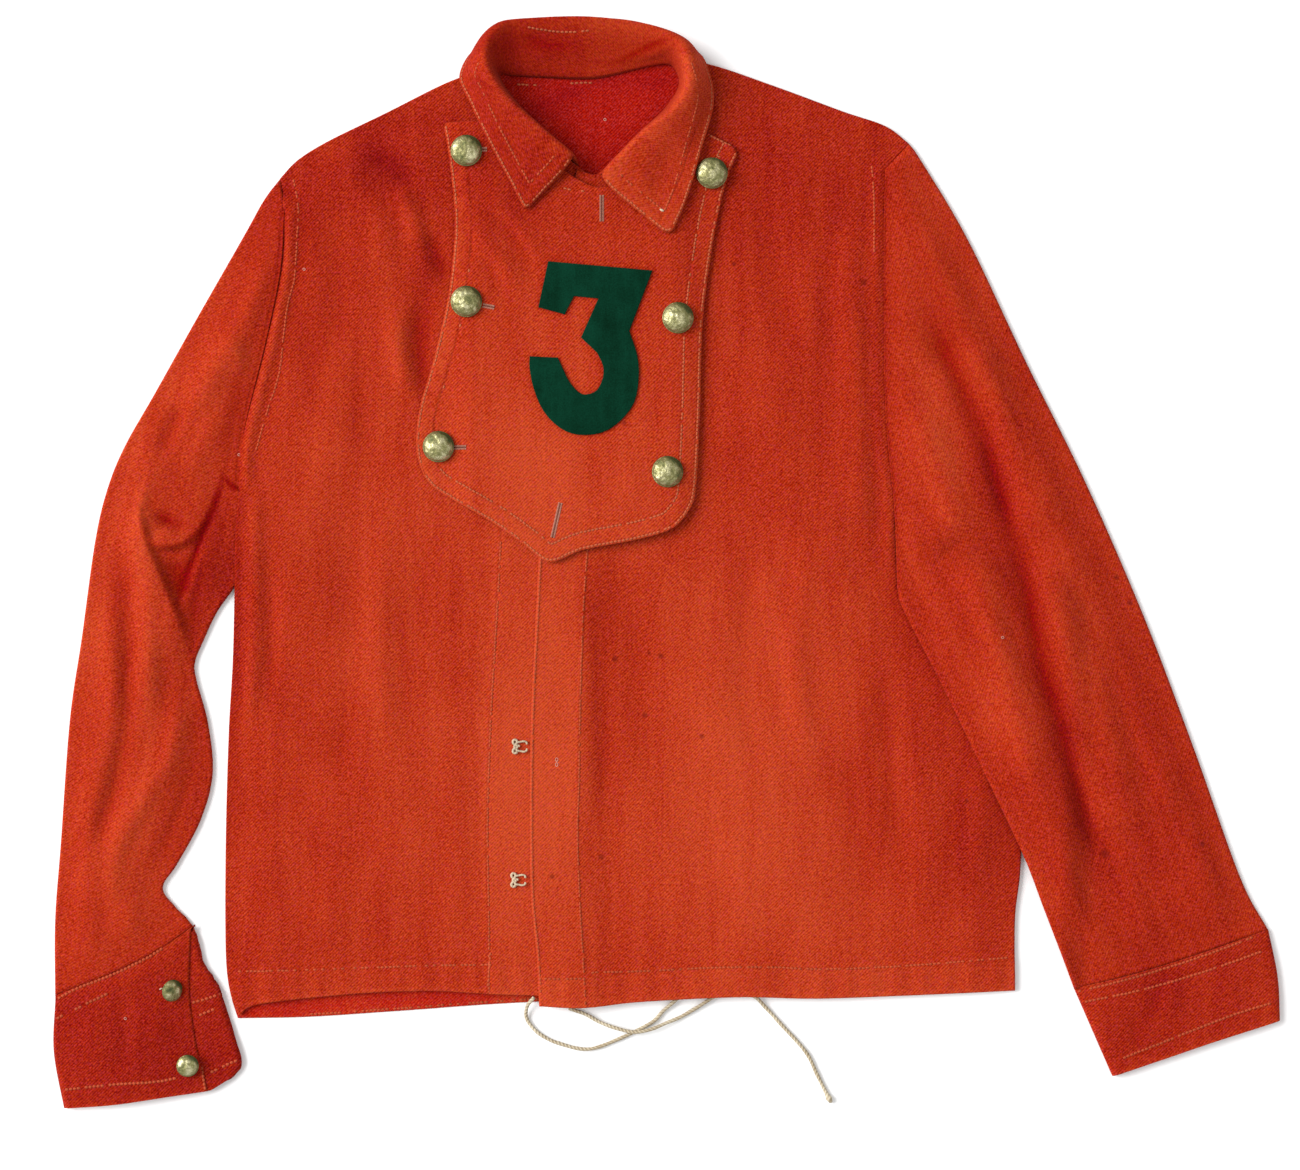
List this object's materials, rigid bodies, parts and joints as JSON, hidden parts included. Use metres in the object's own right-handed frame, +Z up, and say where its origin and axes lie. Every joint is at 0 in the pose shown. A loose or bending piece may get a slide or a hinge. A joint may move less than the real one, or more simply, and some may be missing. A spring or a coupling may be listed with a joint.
{
  "type": "bib-front shirt",
  "caption": "Long-sleeved heavy wool work shirt with a buttoned shield bib, fold-over collar, cuffs and hem drawstring, laid out flat.",
  "frame": {"origin": "on the table, under the middle of the shirt's outline", "axes": "+X across the shirt from the wearer's right sleeve to the left one, +Y from the hem to the collar, +Z up from the table"},
  "size_m": [0.8333, 0.7395, 0.027],
  "materials": {
    "red_twill": "napped heavy wool twill, orange-red, paler where it is rubbed",
    "green_felt": "thick felt, dark bluish green",
    "aged_brass": "stamped brass, worn bright on its high spots, green tarnish in the low ones",
    "cream_thread": "waxed linen thread, cream",
    "cream_cord": "soft cotton cord, cream, grubby"
  },
  "bodies": {
    "root": {"back": "red_twill", "front_right": "red_twill", "front_left": "red_twill", "sleeve_right": "red_twill", "sleeve_left": "red_twill", "collar": "red_twill", "cuff_right": "red_twill", "cuff_left": "red_twill", "bib": "red_twill", "numeral": "green_felt", "bib_button_1": "aged_brass", "bib_button_2": "aged_brass", "bib_button_3": "aged_brass", "bib_button_4": "aged_brass", "bib_button_5": "aged_brass", "bib_button_6": "aged_brass", "cuff_button_1": "aged_brass", "cuff_button_2": "aged_brass", "hook_1": "cream_thread", "hook_2": "cream_thread", "drawstring_left_end": "cream_cord", "drawstring_right_end": "cream_cord"}
  },
  "joints": []
}
